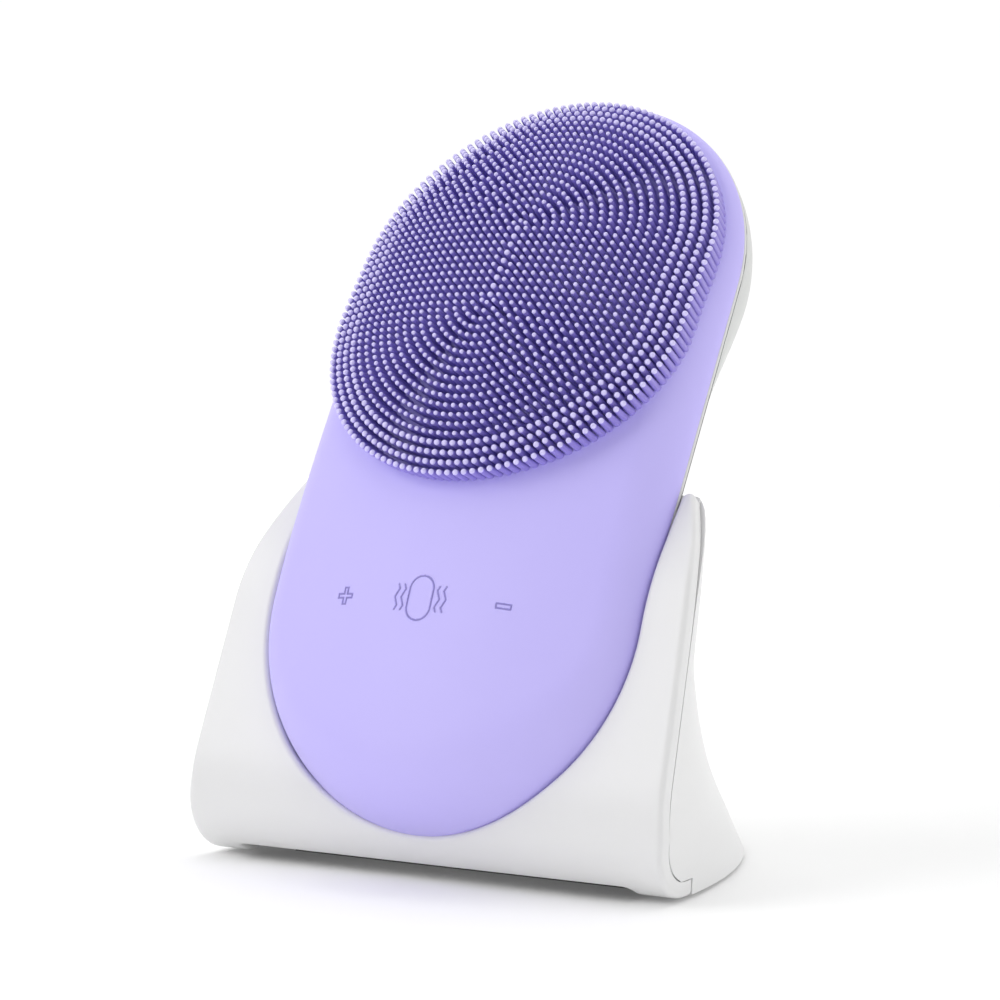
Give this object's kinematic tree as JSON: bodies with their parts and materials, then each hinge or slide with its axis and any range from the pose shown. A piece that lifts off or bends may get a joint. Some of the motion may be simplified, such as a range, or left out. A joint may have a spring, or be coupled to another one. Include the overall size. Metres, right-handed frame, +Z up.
{
  "type": "facial cleansing brush",
  "caption": "Handheld vibrating face brush with an oval field of soft silicone bristles and three keys under its skin, leaning in a flared cradle stand.",
  "frame": {"origin": "middle of the stand's footprint, on the surface that its rubber pad rests on", "axes": "+Z up, +X to the user's right, -Y towards the user; the handset leans back towards +Y"},
  "size_m": [0.0832, 0.078, 0.1194],
  "materials": {
    "lilac_silicone": "soft matte silicone",
    "inner_plastic": "plain moulded",
    "trim_white": "satin",
    "shell_grey": "satin",
    "circuit_board": "solder mask",
    "screw_steel": "plain",
    "switch_black": "plain",
    "battery_foil": "foil pouch",
    "motor_steel": "drawn can",
    "weight_brass": "turned",
    "copper_coil": "enamelled wire",
    "ferrite_black": "plain",
    "stand_white": "satin white",
    "base_white": "fine texture",
    "foot_rubber": "matte",
    "ballast_steel": "zinc plated",
    "socket_steel": "plain"
  },
  "bodies": {
    "stand": {"front_panel": "stand_white", "cradle_tray": "stand_white", "rear_shell": "stand_white", "base_plate": "base_white", "rubber_pad": "foot_rubber", "ballast_plate": "ballast_steel", "charging_coil": "copper_coil", "charging_ferrite": "ferrite_black", "stand_board": "circuit_board", "usb_socket": "socket_steel", "base_screws": "screw_steel"},
    "handset": {"front_skin": "lilac_silicone", "front_frame": "inner_plastic", "trim_ring": "trim_white", "back_shell": "shell_grey", "main_board": "circuit_board", "board_screws": "screw_steel", "plus_switch": "switch_black", "power_switch": "switch_black", "minus_switch": "switch_black", "battery_cell": "battery_foil", "motor_can": "motor_steel", "motor_clamp": "inner_plastic", "clamp_screws": "screw_steel", "receiver_coil": "copper_coil", "receiver_ferrite": "ferrite_black"},
    "rotor": {"motor_shaft": "motor_steel", "eccentric_weight": "weight_brass"},
    "plus_button": {"plus_key": "inner_plastic"},
    "power_button": {"power_key": "inner_plastic"},
    "minus_button": {"minus_key": "inner_plastic"}
  },
  "joints": [
    {"name": "handset_lift", "type": "slide", "parent": "stand", "child": "handset", "axis": [0, -0.8572, 0.515], "range_m": [0, 0.07]},
    {"name": "motor_spin", "type": "hinge", "parent": "handset", "child": "rotor", "pos_m": [0, 0.01295, 0.08475], "axis": [0, 0.515, 0.8572], "continuous": true},
    {"name": "plus_press", "type": "slide", "parent": "handset", "child": "plus_button", "axis": [0, 0.8572, -0.515], "range_m": [0, 0.00035], "stiffness_N_per_m": 900},
    {"name": "power_press", "type": "slide", "parent": "handset", "child": "power_button", "axis": [0, 0.8572, -0.515], "range_m": [0, 0.00035], "stiffness_N_per_m": 900},
    {"name": "minus_press", "type": "slide", "parent": "handset", "child": "minus_button", "axis": [0, 0.8572, -0.515], "range_m": [0, 0.00035], "stiffness_N_per_m": 900}
  ]
}
